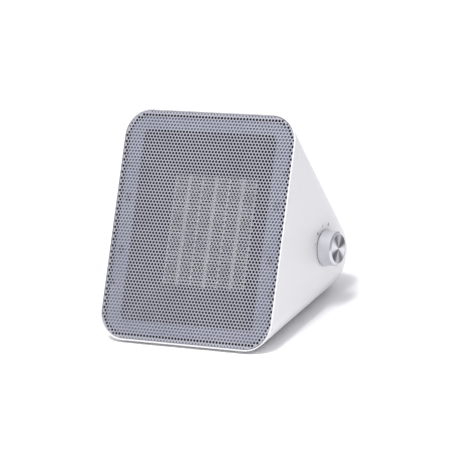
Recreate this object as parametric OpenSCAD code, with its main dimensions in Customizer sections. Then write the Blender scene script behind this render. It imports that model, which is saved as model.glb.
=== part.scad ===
// Wedge-shaped ceramic space heater. Its side profile is an equilateral triangle with a rounded
// rear nose. It rests on one sloping side; the front face leans back over it. Millimetres.
// Origin: on the floor, under the centre of the bounding box. +Z up, front towards -Y.

/* [Housing] */
// Width of the housing from side to side
face_w = 163; // [150:1:200]
// Length of each side of the triangular profile
face_h = 196; // [184:1:240]
// Corner radius of the front face
corner_r = 24; // [18:1:30]
// Radius of the rear nose
nose_r = 35; // [32:1:40]
// Rounding where the nose meets the side walls
nose_fillet = 26; // [18:1:30]
// Rounding of the front rim
rim_r = 0.8; // [0.4:0.1:1.1]
// Wall thickness of the housing
wall = 2.4; // [2:0.1:3]
// Thickness of the thin lip round the grille
lip = 1.2; // [0.9:0.1:1.6]

/* [Front grille] */
// Depth of the grille sheet behind the rim
grille_recess = 1; // [0.5:0.1:1.5]
// Thickness of the perforated sheet
sheet_t = 0.8; // [0.5:0.1:1.2]
// Pitch of the perforation: three times that of the real sheet, which keeps the model light
hole_pitch = 9; // [8:0.5:14]
// Diameter of the perforation, with the real sheet's open area
hole_d = 6.2; // [4:0.1:7]

/* [Air duct] */
// Width of the flange frame's opening
mouth_w = 126; // [110:1:130]
// Height of the flange frame's opening
mouth_h = 161; // [145:1:164]
// Thickness of the flange frame
frame_t = 2.2; // [1.6:0.1:3]
// Wall thickness of the duct
duct_wall = 1.6; // [1.2:0.1:2.4]
// Depth of the duct's throat behind the rim
throat_depth = 20.4; // [16:0.2:24]
// Width of the throat, which shows the heater fins
throat_w = 77; // [70:1:80]
// Height of the throat
throat_h = 91; // [80:1:96]

/* [Ceramic heater] */
// Depth of the fin block from front to back
block_t = 14; // [10:0.5:16]
// Width of one corrugated fin
fin_w = 10.8; // [9:0.1:12]
// Length of the fins
fin_len = 94; // [93:1:100]
// Pitch of the fin corrugation
fin_pitch = 2.8; // [2.4:0.1:4]
// Thickness of the fin strip
fin_t = 0.3; // [0.2:0.05:0.5]
// Thickness of a ceramic heating rod
rod_t = 3.2; // [2.6:0.1:4]
// Thickness of the aluminium plates between the fins
plate_t = 0.8; // [0.6:0.1:1.2]

/* [Fan and motor] */
// Clearance between the fan ring and the screw bosses of the duct
ring_gap = 8; // [6:0.5:12]
// Clearance between the blade tips and the ring
tip_gap = 1.2; // [0.8:0.1:3]
// Number of fan blades
blades = 7; // [5:1:9]
// Pitch angle of the blades
blade_pitch = 34; // [25:1:42]
// Diameter of the motor can
motor_d = 36; // [30:1:40]
// Length of the motor can
motor_len = 36; // [30:1:40]
// Diameter of the motor shaft
motor_shaft_d = 3; // [2:0.1:4]

/* [Switch and knob] */
// Depth of the knob's axis behind the rim
knob_depth = 74.4; // [70:0.1:80]
// Diameter of the knob at the housing
knob_d = 30.9; // [28:0.1:38]
// Diameter of the knob at its outer end
knob_tip_d = 28.4; // [26:0.1:36]
// Length of the knob
knob_len = 12; // [10:0.1:16]
// Gap between the knob and the housing
knob_gap = 0.5; // [0.4:0.1:1]
// Diameter of the brushed cap in the knob's end
cap_d = 24; // [22:0.1:27]
// Diameter of the switch shaft
switch_shaft_d = 6; // [5:0.1:7]
// Width of the switch body
switch_w = 28; // [24:1:30]
// Depth of the switch body
switch_t = 18; // [14:1:20]
// Angle between two switch positions
dial_step = 30; // [25:1:35]
// Radius of the ring of printed dial marks
dial_r = 18.6; // [18:0.1:24]

/* [Base] */
// Height of the feet below the housing
foot_h = 2.5; // [1.5:0.1:4]
// Diameter of the front feet
front_foot_d = 16; // [12:0.5:18]
// Diameter of the rear feet
rear_foot_d = 14; // [10:0.5:15]
// Travel of the tip-over plunger
tip_travel = 3; // [2:0.1:3.4]
// Diameter of the tip-over plunger
tip_pin_d = 5; // [4:0.1:6]
// Diameter of the cord inlet's bore
cord_bore_d = 7.2; // [6:0.1:8]

/* [Hidden] */
$fn = 48;

// Fits
gap = 0.15;      // around a piece that drops into a seat
run_gap = 0.05;  // radial clearance of a running fit
press_gap = 0.02;  // between pieces pressed together
air = 0.4;       // between pieces that face each other without touching
over = 1;        // by which a cutter runs past the faces it cuts
pilot_r = 1.1;   // hole for a small self-tapping screw
pass_r = 1.6;    // hole that a small screw passes through

// Profile of the triangular body, as half heights at a depth behind the rim
half_angle = 30;
lean = 60;
function half_h(depth) = face_h / 2 - depth * tan(half_angle);
function room_h(depth) = half_h(depth) - wall / cos(half_angle);
nose_depth = (face_h / 2) / tan(half_angle) - nose_r / sin(half_angle);
room_w = face_w / 2 - wall;

// Places in the resting frame
knob_reach = knob_gap + knob_len;
nose_run = face_h - nose_r / tan(half_angle);
front_y = -(nose_run + nose_r) / 2;
mid_x = -knob_reach / 2;
inner_floor = foot_h + wall;

// Front grille and frame
grille_back = grille_recess + sheet_t;
seat_h = half_h(grille_back) - lip;
sheet_w = face_w - 2 * lip - 2 * gap;
sheet_h = 2 * (seat_h - gap);
frame_front = grille_back + air;
frame_back = frame_front + frame_t;
frame_w = 2 * (room_w - 2 * gap);
frame_h = 2 * (room_h(frame_back) - gap);
boss_r = 4.2;
boss_x = room_w - boss_r + 0.3;
boss_y = 50;
boss_len = 18;
screw_r = 1.5;
screw_in = 9;
screw_head_r = 2.6;
small_screw_r = 1;
clip_x = boss_x - 3;
clip_y = 22;
clip_w = 8;
clip_t = 0.8;
clip_reach = 2.4;
clip_foot = 4;

// Duct
flange_w = 7;
mouth_r = 5;
throat_r = 2;
duct_flange_w = mouth_w + 2 * flange_w;
duct_flange_h = mouth_h + 2 * flange_w;
stake_r = 1.4;
stake_head_r = 2.2;
stake_head_t = 1.2;
stake_in = duct_wall + stake_head_r + air;
block_front = throat_depth + duct_wall;
block_mid = block_front + block_t / 2;
rod_pitch = 2 * fin_w + rod_t + plate_t;
block_w = 6 * fin_w + 3 * rod_t + 4 * plate_t;
collar_w = block_w + 2 * gap + 2 * duct_wall;
thermostat_d = 13;
holder_h = 6.4;
holder_gap = 0.2;
holder_end = fin_len / 2 + holder_gap + holder_h;
collar_h = 2 * (holder_end + gap + duct_wall);
collar_back = block_front + block_t + 2;
duct_boss_r = 3.5;
duct_boss_x = collar_w / 2 + duct_boss_r - 1;
duct_boss_y = collar_h / 2 - 8;
duct_screw_in = 8;
tab_w = 6.3;
tab_t = 0.8;
tab_len = 12;
tab_room = 1.1;
fuse_r = 2;
fuse_len = 12;
lead_r = 0.5;
lead_len = 32;

// Fan
fan_plate_w = 2 * (duct_boss_x + duct_boss_r);
fan_plate_h = collar_h + 2;
ring_front = collar_back + 2;
ring_back = ring_front + 20;
ring_out_r = norm([duct_boss_x, duct_boss_y]) - duct_boss_r - ring_gap;
ring_r = ring_out_r - duct_wall;
blade_r = ring_r - tip_gap;
hub_r = 13;
blade_t = 1.4;
blade_root = 8;
blade_end = 15;
fan_front = ring_front + 2;
fan_len = 15;
spider_t = 2.5;
spider_w = 7;
motor_front = ring_back + spider_t;
motor_r = motor_d / 2;
motor_back = motor_front + motor_len;
motor_cap_t = 6;
shaft_r = motor_shaft_d / 2;
bush_r = 3.5;
rotor_r = motor_r - 5.2;
motor_screw_x = 9;
motor_screw_r = 1.3;
can_t = 1;
magnet_t = 3.5;
magnet_len = 22;
core_len = 20;
commutator_r = 4;
commutator_len = 7;
bush_len = 5;

// Switch and knob
shaft_hole_r = switch_shaft_d / 2 + run_gap;
bushing_r = 4.5;
bushing_out = 3.2;
nut_t = 2;
hub_hole_r = switch_shaft_d / 2 + 0.03;
shaft_out = knob_len - 2.2;
cap_t = 0.8;
knob_skin = 1.6;
pointer_angle = dial_step;
pointer_r = 0.55;
knob_well_r = 8;
chamfer_h = 1.4;
chamfer_foot = 1.2;
shaft_in = 11.5;
mark_t = 0.15;
mark_w = 0.4;
mark_len = 2.4;

// Base
plate_w = 88;
plate_l = 58;
plate_y = 91;
plate_edge = 8;
plate_skin = 1.2;
plate_r = 6;
plate_inner_r = 4;
front_foot_x = 54;
front_foot_y = 56;
rear_foot_x = 50;
rear_foot_y = nose_run - 6;
foot_seat = 1;
base_screw_x = plate_w / 2 - 4;
base_screw_y = plate_l / 2 - 9;
base_boss_r = 3;
base_boss_len = 6;
base_screw_in = 7;
tip_x = 24;
tip_y = plate_y + 12;
tip_body = [16, 14, 17];
tip_bore_r = 4.2;
tip_collar_r = 3.9;
tip_collar_t = 1.5;
tip_floor = inner_floor + 1.6;
tip_roof = tip_floor + 12;
cord_x = -38;
cord_flange_r = 7.5;
cord_seat = 1;
cord_proud = 0.6;
cord_body_r = 5.6;

// Intake grille, on the sloping back, measured down the slope from the top edge
intake_w = 108;
intake_l = 92;
intake_s = 82;
intake_edge = 4;
intake_skin = 1.2;
panel_r = 8;
panel_inner_r = 5;
panel_back = 0.6;
hook_w = 10;
hook_len = 3;
hook_t = 1.6;
hook_y = 24;
slot_l = 3;
slot_pitch = 5.2;
slot_cols = 4;
slot_rows = 15;

// ---- frames ----
// Local frame of the front face: x to the right, y up the slope, z out of the face
module on_face() {
    translate([mid_x, front_y + face_h / 2 * cos(lean), foot_h + face_h / 2 * sin(lean)])
        rotate([lean, 0, 0])
            children();
}

// Local frame of the back: y runs down the slope from the top edge, z out of the back
module on_back(s) {
    translate([mid_x, front_y + face_h * cos(lean), foot_h + face_h * sin(lean)])
        rotate([-lean, 0, 0])
            translate([0, s, 0])
                children();
}

// Level frame of the base: y measured from the front edge, z = 0 on the housing's underside
module on_base(x, y) {
    translate([mid_x + x, front_y + y, foot_h])
        children();
}

// Frame of the knob's axis: z out of the right side wall
module on_knob() {
    on_face()
        translate([face_w / 2, 0, -knob_depth])
            rotate([0, 90, 0])
                children();
}

module behind(depth) {
    translate([0, 0, -depth])
        children();
}

// ---- shared shapes ----
module rounded_rect(w, h, r) {
    square([w - 2 * r, h], center = true);
    square([w, h - 2 * r], center = true);
    for (x = [-1, 1], y = [-1, 1])
        translate([x * (w / 2 - r), y * (h / 2 - r)])
            circle(r);
}

module slab(w, h, r, t) {
    linear_extrude(t)
        rounded_rect(w, h, r);
}

module corners(x, y) {
    for (sx = [-1, 1], sy = [-1, 1])
        translate([sx * x, sy * y, 0])
            children();
}

module tube(r_out, r_in, h) {
    difference() {
        cylinder(r = r_out, h = h);
        translate([0, 0, -1])
            cylinder(r = r_in, h = h + 2);
    }
}

// Ring of points round a rounded rectangle at a depth behind the rim
function slice_points(w, h, r, depth, steps = 8) =
    [for (q = [0:3], i = [0:steps]) let (
        a = 90 * q + i * 90 / steps,
        sx = q == 0 || q == 3 ? 1 : -1,
        sy = q < 2 ? 1 : -1)
        [sx * (w / 2 - r) + r * cos(a), sy * (h / 2 - r) + r * sin(a), -depth]];

// Slice of the housing's body, drawn in by an inset on its sides and its slopes
function body_slice(depth, inset_x, inset_y, r) =
    slice_points(face_w - 2 * inset_x, 2 * (half_h(depth) - inset_y), r, depth);

// Roller across the nose: a cylinder along x whose ends are rounded by a fillet
function roller_points(inset, steps = 8) = let (
    r = nose_r - inset,
    half_len = face_w / 2 - inset,
    fillet = nose_fillet - inset)
    [for (side = [-1, 1], i = [0:steps], k = [0:4 * steps - 1]) let (
        a = i * 90 / steps,
        b = k * 90 / steps,
        ring_r = r - fillet + fillet * cos(a))
        [side * (half_len - fillet + fillet * sin(a)), ring_r * sin(b), ring_r * cos(b) - nose_depth]];

// Convex solid round a cloud of points
module wrap(points) {
    hull()
        polyhedron(points = points, faces = [for (i = [0:len(points) - 3]) [i, i + 1, i + 2]]);
}

// Wedge between two rounded rectangles at two depths, for the duct and its mouth
module funnel(w1, h1, r1, d1, w2, h2, r2, d2) {
    wrap(concat(slice_points(w1, h1, r1, d1), slice_points(w2, h2, r2, d2)));
}

module pan_screw(r, len) {
    cylinder(r = r, h = len);
    translate([0, 0, len])
        difference() {
            cylinder(r1 = 2 * r, r2 = 1.6 * r, h = 1.2);
            translate([0, 0, 1.5])
                cube([2.4 * r, 0.6, 1.6], center = true);
        }
}

// ---- housing ----
module body_outside() {
    wrap(concat(
        body_slice(0, rim_r, rim_r, corner_r - rim_r),
        body_slice(rim_r * 0.3, rim_r * 0.3, rim_r * 0.3, corner_r - rim_r * 0.3),
        body_slice(rim_r, 0, 0, corner_r),
        roller_points(0)
    ));
}

module body_inside() {
    wrap(concat(
        body_slice(-1, wall, wall / cos(half_angle), corner_r - wall),
        roller_points(wall)
    ));
}

module grille_seat() {
    wrap(concat(
        body_slice(-1, lip, lip, corner_r - lip),
        body_slice(grille_back, lip, lip, corner_r - lip)
    ));
}

module housing() color("white") {
    difference() {
        union() {
            difference() {
                on_face() body_outside();
                on_face() body_inside();
            }
            frame_bosses();
            base_bosses();
        }
        on_face() grille_seat();
        on_knob()
            translate([0, 0, -wall - over])
                cylinder(r = bushing_r + run_gap, h = wall + 2 * over);
        on_back(intake_s) {
            translate([0, 0, -intake_skin])
                slab(intake_w, intake_l, panel_r, intake_skin + over);
            translate([0, 0, -wall - over])
                slab(intake_w - 2 * intake_edge, intake_l - 2 * intake_edge, panel_inner_r, wall + 2 * over);
        }
        on_base(0, plate_y) {
            translate([0, 0, -over])
                slab(plate_w, plate_l, plate_r, over + plate_skin);
            translate([0, 0, -over])
                slab(plate_w - 2 * plate_edge, plate_l - 2 * plate_edge, plate_inner_r, wall + 2 * over);
        }
        base_corner_holes(pilot_r, wall + base_boss_len - 2 * over, over);
        foot_seats();
        cord_hole();
    }
}

// Screw bosses on the side walls, which carry the flange frame
module frame_bosses() {
    on_face()
        behind(frame_back + boss_len)
            corners(boss_x, boss_y)
                tube(boss_r, screw_r - 0.25, boss_len);
}

module base_bosses() {
    for (x = [-1, 1], y = [-1, 1])
        on_base(x * base_screw_x, plate_y + y * base_screw_y)
            translate([0, 0, wall - 0.4])
                cylinder(r = base_boss_r, h = base_boss_len);
}

module base_corner_holes(r, h, z) {
    for (x = [-1, 1], y = [-1, 1])
        on_base(x * base_screw_x, plate_y + y * base_screw_y)
            translate([0, 0, z])
                cylinder(r = r, h = h);
}

module foot_seats() {
    for (x = [-1, 1]) {
        on_base(x * front_foot_x, front_foot_y)
            translate([0, 0, -over])
                cylinder(d = front_foot_d + 2 * gap, h = over + foot_seat);
        on_base(x * rear_foot_x, rear_foot_y)
            translate([0, 0, -over])
                cylinder(d = rear_foot_d + 2 * gap, h = over + foot_seat);
    }
}

module cord_axis() {
    translate([mid_x + cord_x, front_y + nose_run + nose_r, foot_h + nose_r])
        rotate([90, 0, 0])
            children();
}

module cord_hole() {
    cord_axis() {
        translate([0, 0, -5])
            cylinder(r = cord_body_r + gap, h = 5 + wall + 3);
        translate([0, 0, -5])
            cylinder(r = cord_flange_r + gap, h = 5 + cord_seat);
    }
}

// ---- front ----
module front_grille() color("gainsboro")
    on_face() {
        behind(grille_back)
            linear_extrude(sheet_t)
                difference() {
                    rounded_rect(sheet_w, sheet_h, corner_r - lip);
                    perforation();
                }
    }

// Spring clips spot-welded behind the sheet, which snap through the flange frame
module grille_clips() color("silver")
    on_face()
        for (side = [0, 1], y = [-1, 1])
            mirror([side, 0, 0])
                translate([clip_x, y * clip_y, -grille_back]) {
                    translate([-clip_t / 2, -clip_w / 2, -frame_t - air - clip_reach])
                        cube([clip_t, clip_w, frame_t + air + clip_reach]);
                    translate([-clip_foot, -clip_w / 2, -air / 2])
                        cube([clip_foot, clip_w, air / 2]);
                }

// Staggered rows of holes that stay inside a plain border
module perforation() {
    row_step = hole_pitch * sqrt(3) / 2;
    border = hole_d / 2 + 1.2;
    rows = floor((sheet_h / 2 - border) / row_step);
    cols = ceil(sheet_w / 2 / hole_pitch);
    reach = corner_r - lip - border;
    for (i = [-rows:rows], j = [-cols:cols]) {
        x = (j + (i % 2 == 0 ? 0 : 0.5)) * hole_pitch;
        y = i * row_step;
        cx = max(abs(x) - (sheet_w / 2 - corner_r + lip), 0);
        cy = max(abs(y) - (sheet_h / 2 - corner_r + lip), 0);
        if (norm([cx, cy]) < reach && abs(x) < sheet_w / 2 - border)
            translate([x, y])
                circle(d = hole_d, $fn = 24);
    }
}

// Places of the heat stakes that hold the duct to the flange frame
module stakes(r, h) {
    corners(mouth_w / 2 + stake_in, 30)
        cylinder(r = r, h = h);
    for (y = [-1, 1])
        translate([0, y * (mouth_h / 2 + stake_in), 0])
            cylinder(r = r, h = h);
}

module front_frame() color("lightsteelblue")
    on_face() {
        difference() {
            behind(frame_back)
                slab(frame_w, frame_h, corner_r - wall, frame_t);
            behind(frame_back + over)
                slab(mouth_w, mouth_h, mouth_r, frame_t + 2 * over);
            behind(frame_back + over)
                corners(boss_x, boss_y)
                    cylinder(r = screw_r + gap, h = frame_t + 2 * over);
            for (x = [-1, 1], y = [-1, 1])
                translate([x * clip_x, y * clip_y, -frame_back])
                    cube([clip_t + 4 * gap, clip_w + 4 * gap, 4 * frame_t], center = true);
        }
        behind(frame_back + duct_wall + stake_head_t)
            stakes(stake_r, duct_wall + stake_head_t + 0.2);
        behind(frame_back + duct_wall + stake_head_t)
            stakes(stake_head_r, stake_head_t);
    }

module frame_screws() color("silver")
    on_face()
        corners(boss_x, boss_y)
            behind(frame_back + screw_in)
                screw_shape();

module screw_shape() {
    cylinder(r = screw_r - 2 * gap, h = screw_in + frame_t);
    translate([0, 0, screw_in + frame_t])
        cylinder(r = screw_head_r, h = 0.75 * air);
}

module outlet_duct() color("dimgray")
    on_face() {
        difference() {
            union() {
                behind(frame_back + duct_wall)
                    slab(duct_flange_w, duct_flange_h, mouth_r + flange_w, duct_wall);
                funnel(mouth_w + 2 * duct_wall, mouth_h + 2 * duct_wall, mouth_r + duct_wall,
                    frame_back + duct_wall / 2, throat_w + 2 * duct_wall, throat_h + 2 * duct_wall,
                    throat_r + duct_wall, block_front - 0.3);
                behind(collar_back)
                    slab(collar_w, collar_h, 3, collar_back - throat_depth);
                behind(collar_back)
                    corners(duct_boss_x, duct_boss_y)
                        cylinder(r = duct_boss_r, h = collar_back - block_front);
            }
            funnel(mouth_w, mouth_h, mouth_r, frame_back - 0.5, throat_w, throat_h, throat_r,
                block_front + 0.5);
            behind(collar_back + over)
                slab(collar_w - 2 * duct_wall, collar_h - 2 * duct_wall, gap, block_t + 3 * over);
            behind(collar_back + over)
                corners(duct_boss_x, duct_boss_y)
                    cylinder(r = pilot_r, h = duct_screw_in + 2 * over);
            behind(frame_back + duct_wall + over)
                stakes(stake_r + gap, duct_wall + 2 * over);
            for (x = [-1, 0, 1])
                translate([x * rod_pitch, collar_h / 2, -block_mid])
                    cube([tab_w + tab_room, 3 * duct_wall, tab_t + over], center = true);
        }
    }

// ---- ceramic heater ----
// One edge of a corrugated strip: square folds, with a web across the fin at each half pitch
function fin_edge(side) = let (
    webs = floor((fin_len - 1) / (fin_pitch / 2)),
    reach = fin_w / 2 - 0.05 - fin_t / 2)
    [for (i = [0:webs - 1], end = [-1, 1]) let (s = i % 2 == 0 ? 1 : -1)
        [s * end * reach - side * fin_t / 2, (i - (webs - 1) / 2) * fin_pitch / 2 + s * side * fin_t / 2]];

function reversed(list) = [for (i = [len(list) - 1:-1:0]) list[i]];

module fin_outline() {
    polygon(concat(fin_edge(1), reversed(fin_edge(-1))));
}

module heater_fin(i) color("silver")
    on_face()
        behind(block_front + block_t)
            translate([(floor(i / 2) - 1) * rod_pitch + (i % 2 == 0 ? -1 : 1) * (rod_t + fin_w) / 2, 0, 0])
                linear_extrude(block_t - air)
                    fin_outline();

module ptc_rod(i) color("darkgray")
    on_face()
        translate([(i - 1) * rod_pitch, 0, -block_mid - air / 2])
            cube([rod_t - 0.1, 2 * holder_end - 4, block_t - air - 1], center = true);

module heater_plates() color("silver")
    on_face()
        for (i = [0:3])
            translate([(i - 1.5) * rod_pitch, 0, -block_mid - air / 2])
                cube([plate_t - 0.1, fin_len, block_t - air], center = true);

module heater_holder(side) color("saddlebrown")
    on_face()
        difference() {
            translate([0, side * (holder_end - holder_h / 2), -block_mid - air / 2])
                cube([block_w, holder_h, block_t - air], center = true);
            for (i = [-1:1])
                translate([i * rod_pitch, side * (holder_end - holder_h + 2.1), -block_mid])
                    cube([rod_t + 0.1, 4.6, block_t - air], center = true);
            if (side > 0)
                for (i = [-1:1])
                    translate([i * rod_pitch, holder_end, -block_mid])
                        cube([6.5, 2 * holder_h - 8.4, 1], center = true);
        }

module heater_terminals() color("gold")
    on_face()
        for (i = [-1:1])
            translate([i * rod_pitch - tab_w / 2, holder_end - 2, -block_mid - tab_t / 2])
                cube([tab_w, tab_len, tab_t]);

module thermostat() color("silver")
    on_face()
        translate([collar_w / 2 + 0.05, 0, -block_mid])
            rotate([0, 90, 0]) {
                cylinder(d = thermostat_d, h = 5);
                translate([0, 0, 5])
                    cylinder(d = thermostat_d - 3, h = 4);
                translate([-2, -12, 0])
                    cube([4, 24, 1]);
                for (y = [-1, 1])
                    translate([-2.4, y * 4 - 0.4, 9])
                        cube([4.8, 0.8, 7]);
            }

module thermal_fuse() color("goldenrod")
    on_face()
        translate([-collar_w / 2 - fuse_r - 0.1, 0, -block_mid])
            rotate([90, 0, 0]) {
                translate([0, 0, -fuse_len / 2])
                    cylinder(r = fuse_r, h = fuse_len);
                translate([0, 0, -lead_len / 2])
                    cylinder(r = lead_r, h = lead_len);
            }

// ---- fan ----
module fan_housing() color("dimgray")
    on_face()
        difference() {
            union() {
                behind(ring_front)
                    slab(fan_plate_w, max(fan_plate_h, 2 * ring_out_r + 2), 6, ring_front - collar_back);
                behind(ring_back)
                    cylinder(r = ring_out_r, h = ring_back - ring_front);
                behind(motor_front)
                    for (a = [45, 135])
                        rotate([0, 0, a])
                            translate([-ring_out_r, -spider_w / 2, 0])
                                cube([2 * ring_out_r, spider_w, spider_t]);
                behind(motor_front)
                    cylinder(r = motor_r + 1, h = spider_t);
            }
            behind(ring_back)
                cylinder(r = ring_r, h = ring_back);
            behind(motor_front + over)
                cylinder(r = bush_r + 1.2, h = spider_t + 2 * over);
            behind(motor_front + over)
                motor_screw_places()
                    cylinder(r = pass_r, h = spider_t + 2 * over);
            behind(ring_front + over)
                corners(duct_boss_x, duct_boss_y)
                    cylinder(r = pass_r, h = ring_front - collar_back + 2 * over);
        }

module motor_screw_places() {
    for (x = [-1, 1])
        translate([x * motor_screw_x, 0, 0])
            children();
}

module fan_housing_screws() color("silver")
    on_face()
        behind(collar_back - duct_screw_in)
            corners(duct_boss_x, duct_boss_y)
                rotate([180, 0, 0])
                    pan_screw(small_screw_r, duct_screw_in + ring_front - collar_back);

module impeller() color("whitesmoke")
    on_face()
        difference() {
            union() {
                behind(fan_front + fan_len - 1)
                    cylinder(r = hub_r, h = fan_len - 2);
                intersection() {
                    behind(fan_front + fan_len)
                        tube(blade_r, hub_r - 1, fan_len);
                    behind(fan_front + fan_len / 2)
                        for (i = [0:blades - 1])
                            rotate([0, 0, i * 360 / blades])
                                rotate([0, 90, 0])
                                    rotate([0, 0, blade_pitch])
                                        translate([-blade_t / 2, 0, 0])
                                            blade();
                }
            }
            behind(fan_front + fan_len)
                cylinder(r = shaft_r, h = fan_len + 2);
        }

// Flat blade that widens towards its tip; z runs out along the radius
module blade() {
    rotate([90, 0, 90])
        linear_extrude(blade_t)
            polygon([[-blade_root, hub_r - 2], [blade_root, hub_r - 2], [blade_end, blade_r + over],
                [-blade_end, blade_r + over]]);
}

module motor_can() color("silver")
    on_face()
        difference() {
            behind(motor_back)
                cylinder(r = motor_r, h = motor_len);
            behind(motor_back + can_t)
                cylinder(r = motor_r - can_t, h = motor_len);
            behind(motor_front + can_t)
                cylinder(r = bush_r, h = can_t + over);
            behind(motor_front + can_t + over)
                motor_screw_places()
                    cylinder(r = motor_screw_r, h = can_t + 2 * over);
        }

module motor_end_cap() color("ivory")
    on_face()
        difference() {
            union() {
                behind(motor_back + motor_cap_t)
                    cylinder(r = motor_r - 2, h = motor_cap_t);
                behind(motor_back + 2)
                    cylinder(r = motor_r - can_t - 0.1, h = 4);
            }
            behind(motor_back + motor_cap_t + over)
                cylinder(r = bush_r, h = 2 * motor_cap_t);
        }

module motor_magnets() color("black")
    on_face()
        behind(motor_back - 8)
            difference() {
                tube(motor_r - can_t - 0.1, motor_r - can_t - 0.1 - magnet_t, magnet_len);
                for (y = [-1, 1])
                    translate([0, y * motor_r, magnet_len / 2])
                        cube([2 * motor_r, motor_r * 0.9, magnet_len + 2 * over], center = true);
            }

// Laminated core with three poles, and its commutator
module motor_rotor() color("sienna")
    on_face()
        difference() {
            union() {
                behind(motor_back - 9)
                    cylinder(r = rotor_r, h = core_len);
                behind(motor_back - 3)
                    cylinder(r = commutator_r, h = commutator_len);
            }
            behind(motor_back + 1)
                cylinder(r = shaft_r, h = motor_len);
            for (i = [0:2])
                rotate([0, 0, 120 * i])
                    translate([rotor_r - 3, 0, -motor_back + 18])
                        cube([9, 2.4, 40], center = true);
        }

module motor_shaft() color("silver")
    on_face()
        behind(motor_back + motor_cap_t + 1.5)
            cylinder(r = shaft_r, h = motor_back + motor_cap_t + 1.5 - fan_front - 1);

module motor_bushes() color("darkgoldenrod")
    on_face() {
        behind(motor_front + 4)
            tube(bush_r, shaft_r + run_gap, bush_len);
        behind(motor_back + motor_cap_t)
            tube(bush_r, shaft_r + run_gap, bush_len);
    }

module motor_screws() color("silver")
    on_face()
        motor_screw_places()
            behind(motor_front + 3)
                pan_screw(motor_screw_r, 3 + spider_t);

// ---- switch and knob ----
module switch_body() color("ivory")
    on_knob()
        difference() {
            union() {
                translate([0, 0, -wall - switch_t / 2])
                    cube([switch_w, switch_w, switch_t], center = true);
                translate([0, 0, -wall])
                    cylinder(r = bushing_r, h = wall + bushing_out);
            }
            translate([0, 0, -wall - shaft_in - 0.5])
                cylinder(r = shaft_hole_r, h = shaft_in + 2 * wall + bushing_out);
        }

module switch_terminals() color("gold")
    on_knob()
        for (x = [-1, 1], y = [-1, 1])
            translate([x * 8 - 0.4, y * 7 - 3.1, -wall - switch_t - 9])
                cube([0.8, 6.2, 9]);

module switch_nut() color("silver")
    on_knob()
        translate([0, 0, air])
            difference() {
                cylinder(r = 7.2, h = nut_t, $fn = 6);
                translate([0, 0, -1])
                    cylinder(r = bushing_r + press_gap, h = nut_t + 2 * over, $fn = 48);
            }

module switch_shaft() color("silver")
    on_knob()
        translate([0, 0, -wall - shaft_in])
            cylinder(d = switch_shaft_d, h = wall + shaft_in + shaft_out);

module knob() color("lightgray")
    on_knob()
        difference() {
            translate([0, 0, knob_gap])
                union() {
                    cylinder(d1 = knob_d, d2 = knob_tip_d, h = knob_len - chamfer_h);
                    translate([0, 0, knob_len - chamfer_h])
                        cylinder(d1 = knob_tip_d, d2 = cap_d + chamfer_foot, h = chamfer_h);
                }
            translate([0, 0, knob_reach - cap_t])
                cylinder(d = cap_d + 0.1, h = 2);
            translate([0, 0, -1])
                tube(knob_tip_d / 2 - knob_skin, switch_shaft_d / 2 + 2.6, knob_reach - cap_t - 1);
            translate([0, 0, -over])
                cylinder(r = knob_well_r, h = over + air + nut_t + knob_skin);
            translate([0, 0, -over])
                cylinder(r = hub_hole_r, h = over + shaft_out + 0.2);
            pointer_place()
                cylinder(r = pointer_r + press_gap, h = 2);
        }

module knob_cap() color("silver")
    on_knob()
        translate([0, 0, knob_reach - cap_t])
            cylinder(d = cap_d, h = cap_t - 0.1);

// A place round the knob's axis, at an angle from straight up towards the front
module around_dial(angle, r) {
    rotate([0, 0, 180 - lean + angle])
        translate([r, 0, 0])
            children();
}

module at_dial(angle, r) {
    on_knob()
        around_dial(angle, r)
            children();
}

// Pocket for the dark dot on the knob's chamfer
module pointer_place() {
    around_dial(pointer_angle, (knob_tip_d + cap_d + chamfer_foot) / 4)
        translate([0, 0, knob_reach - 1])
            children();
}

module knob_pointer() color("dimgray")
    on_knob()
        pointer_place()
            cylinder(r = pointer_r, h = 0.5);

module dial_marks() color("gray") {
    at_dial(2 * dial_step, dial_r)
        cylinder(r = pointer_r, h = mark_t);
    for (i = [0:2])
        at_dial(dial_step, dial_r)
            rotate([0, 0, 120 * i])
                translate([0.9, 0, 0])
                    cylinder(r = pointer_r, h = mark_t);
    at_dial(0, dial_r + 0.5)
        translate([-mark_len / 2, -mark_w / 2, 0])
            cube([mark_len, mark_w, mark_t]);
    for (y = [-1, 1])
        at_dial(-dial_step, dial_r + 1)
            translate([-mark_len / 2, y * 0.45 - mark_w / 2, 0])
                cube([mark_len, mark_w, mark_t]);
}

// ---- back and base ----
module intake_grille() color("whitesmoke")
    on_back(intake_s)
        difference() {
            union() {
                translate([0, 0, -intake_skin + press_gap])
                    slab(intake_w - 2 * gap, intake_l - 2 * gap, panel_r - gap, intake_skin - press_gap);
                translate([0, 0, -wall - panel_back])
                    slab(intake_w - 2 * intake_edge - 2 * gap, intake_l - 2 * intake_edge - 2 * gap,
                        panel_inner_r - gap, wall + panel_back / 2);
                for (side = [0, 1], y = [-1, 1])
                    mirror([side, 0, 0])
                        translate([intake_w / 2 - intake_edge - gap, y * hook_y - hook_w / 2, -wall])
                            hook();
            }
            intake_slots();
        }

// Snap hook that reaches under the housing wall
module hook() {
    translate([-hook_t, 0, -hook_len])
        cube([hook_t, hook_w, hook_len]);
    translate([-0.1, 0, -hook_len])
        cube([1.2, hook_w, hook_len - 0.8]);
}

module intake_slots() {
    cell = (intake_w - 2 * intake_edge - 8) / slot_cols;
    for (i = [0:slot_rows - 1], j = [0:slot_cols - 1])
        translate([(j - (slot_cols - 1) / 2) * cell, (i - (slot_rows - 1) / 2) * slot_pitch, -10])
            slab(cell - 3, slot_l, slot_l / 2 - 0.01, 20);
}

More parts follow.
